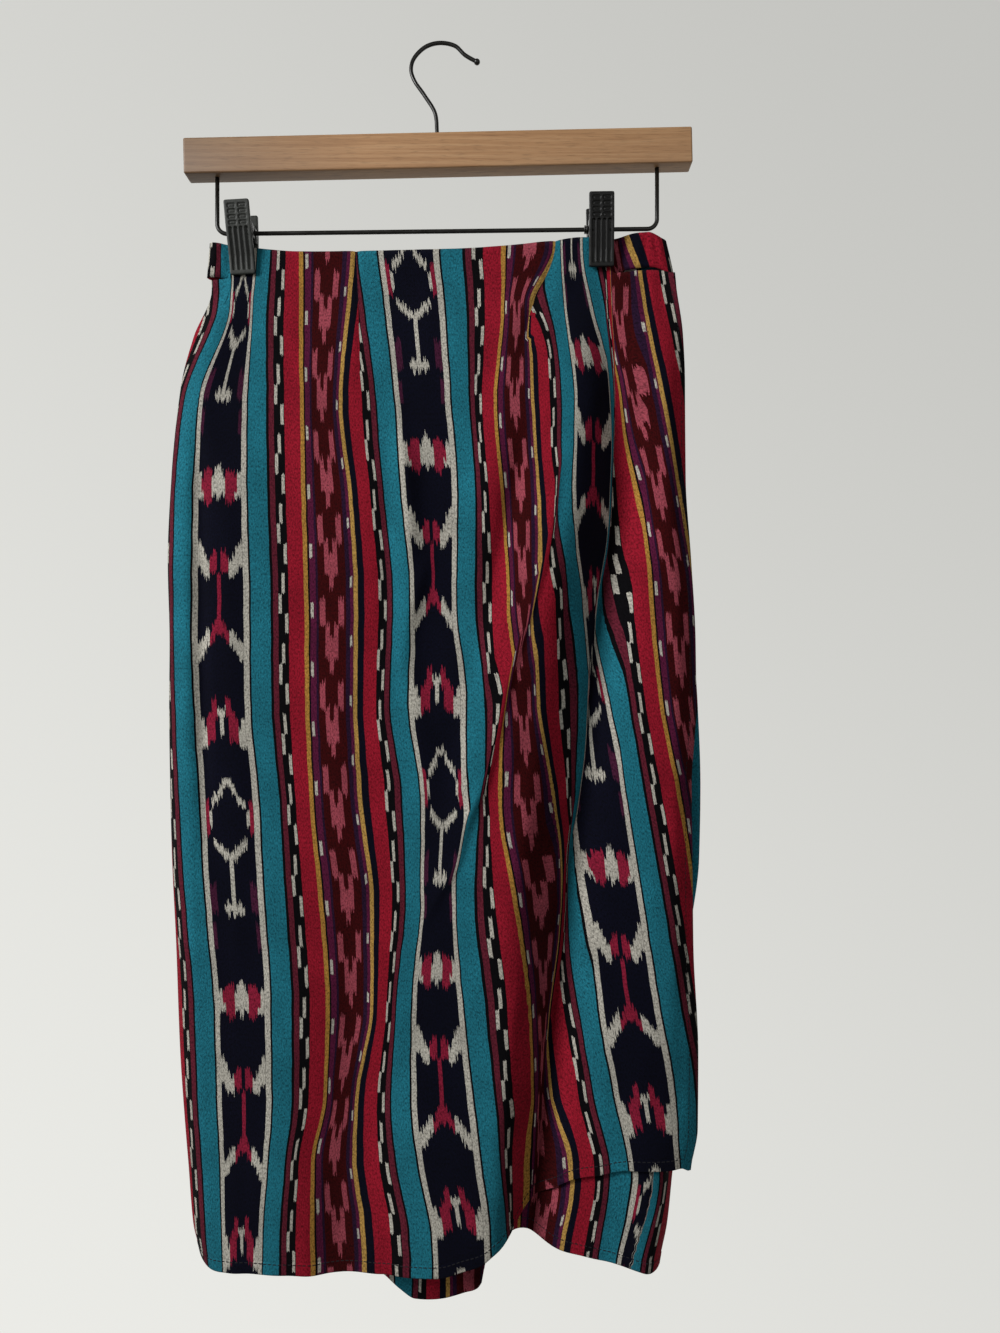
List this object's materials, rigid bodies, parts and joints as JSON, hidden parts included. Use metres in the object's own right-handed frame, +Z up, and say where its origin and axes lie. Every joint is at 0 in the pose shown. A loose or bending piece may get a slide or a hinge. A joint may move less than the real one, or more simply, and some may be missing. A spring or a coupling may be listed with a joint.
{
  "type": "midi skirt on a clip hanger",
  "caption": "Wrap midi skirt of striped ikat cotton with a gathered elastic back waist, hanging flat from a wooden hanger by clips on a wire frame.",
  "frame": {"origin": "the top of the inside of the hook, where it rests on the rail or peg that holds the hanger", "axes": "+Z up, against the skirt's hang; -Y out of the skirt's front; +X to the right as the front is looked at"},
  "size_m": [0.3764, 0.0524, 0.9022],
  "materials": {
    "ikat_cotton": "matte woven cotton with warp stripes and feathered ikat figures",
    "beech": "planed beech with a satin lacquer",
    "black_wire": "steel wire with a satin black coat",
    "black_plastic": "moulded black plastic, slightly rubbed",
    "spring_steel": "bright spring steel"
  },
  "bodies": {
    "root": {"over_upper_left": "ikat_cotton", "over_upper_right": "ikat_cotton", "over_middle_left": "ikat_cotton", "over_middle_right": "ikat_cotton", "over_lower_left": "ikat_cotton", "over_lower_right": "ikat_cotton", "under_upper_left": "ikat_cotton", "under_upper_right": "ikat_cotton", "under_middle_left": "ikat_cotton", "under_middle_right": "ikat_cotton", "under_lower_left": "ikat_cotton", "under_lower_right": "ikat_cotton", "back_upper_left": "ikat_cotton", "back_upper_right": "ikat_cotton", "back_middle_left": "ikat_cotton", "back_middle_right": "ikat_cotton", "back_lower_left": "ikat_cotton", "back_lower_right": "ikat_cotton", "back_waist_casing": "ikat_cotton", "hanger_bar": "beech", "hanger_hook": "black_wire", "hanger_frame": "black_wire", "clip_left_front": "black_plastic", "clip_left_back": "black_plastic", "clip_left_spring": "spring_steel", "clip_right_front": "black_plastic", "clip_right_back": "black_plastic", "clip_right_spring": "spring_steel"}
  },
  "joints": []
}
